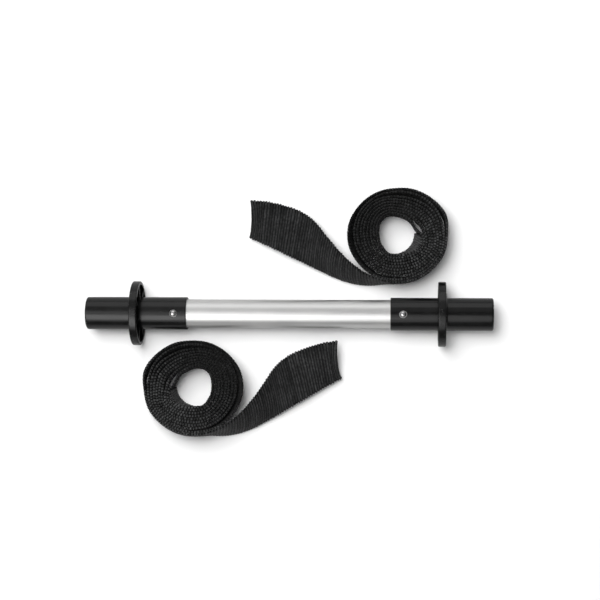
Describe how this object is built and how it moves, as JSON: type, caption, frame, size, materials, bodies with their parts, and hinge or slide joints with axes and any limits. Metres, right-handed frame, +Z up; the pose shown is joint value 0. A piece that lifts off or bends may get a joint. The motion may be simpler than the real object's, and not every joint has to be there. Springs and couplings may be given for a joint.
{
  "type": "bed cargo bar",
  "caption": "Short round aluminium bar with black flanged end fittings held by snap buttons, and two loose rolls of ribbed tie-down webbing.",
  "frame": {"origin": "on the floor under the middle of the bar, at the centre of the whole set's footprint", "axes": "+X along the bar towards the right fitting, +Z up; the snap buttons point up"},
  "size_m": [0.4572, 0.2836, 0.0723],
  "materials": {
    "tube": "satin drawn aluminium",
    "fitting": "black glass-filled nylon, satin sheen",
    "button": "bright plated steel",
    "spring": "dull spring steel",
    "webbing": "heavy black ribbed polyester webbing"
  },
  "bodies": {
    "bar": {"bar_tube": "tube", "left_end_fitting": "fitting", "right_end_fitting": "fitting", "left_button_spring": "spring", "right_button_spring": "spring"},
    "left_button": {"left_snap_button": "button"},
    "right_button": {"right_snap_button": "button"},
    "left_strap_roll": {"left_strap": "webbing"},
    "right_strap_roll": {"right_strap": "webbing"}
  },
  "joints": [
    {"name": "left_button_press", "type": "slide", "parent": "bar", "child": "left_button", "axis": [0, 0, -1], "range_m": [0, 0.0056], "stiffness_N_per_m": 3500, "springref_m": -0.002, "deforming": ["left_button_spring"]},
    {"name": "right_button_press", "type": "slide", "parent": "bar", "child": "right_button", "axis": [0, 0, -1], "range_m": [0, 0.0056], "stiffness_N_per_m": 3500, "springref_m": -0.002, "deforming": ["right_button_spring"]},
    {"name": "left_strap_lift", "type": "slide", "parent": "bar", "child": "left_strap_roll", "axis": [0, 0, 1], "range_m": [0, 0.12]},
    {"name": "right_strap_lift", "type": "slide", "parent": "bar", "child": "right_strap_roll", "axis": [0, 0, 1], "range_m": [0, 0.12]}
  ]
}
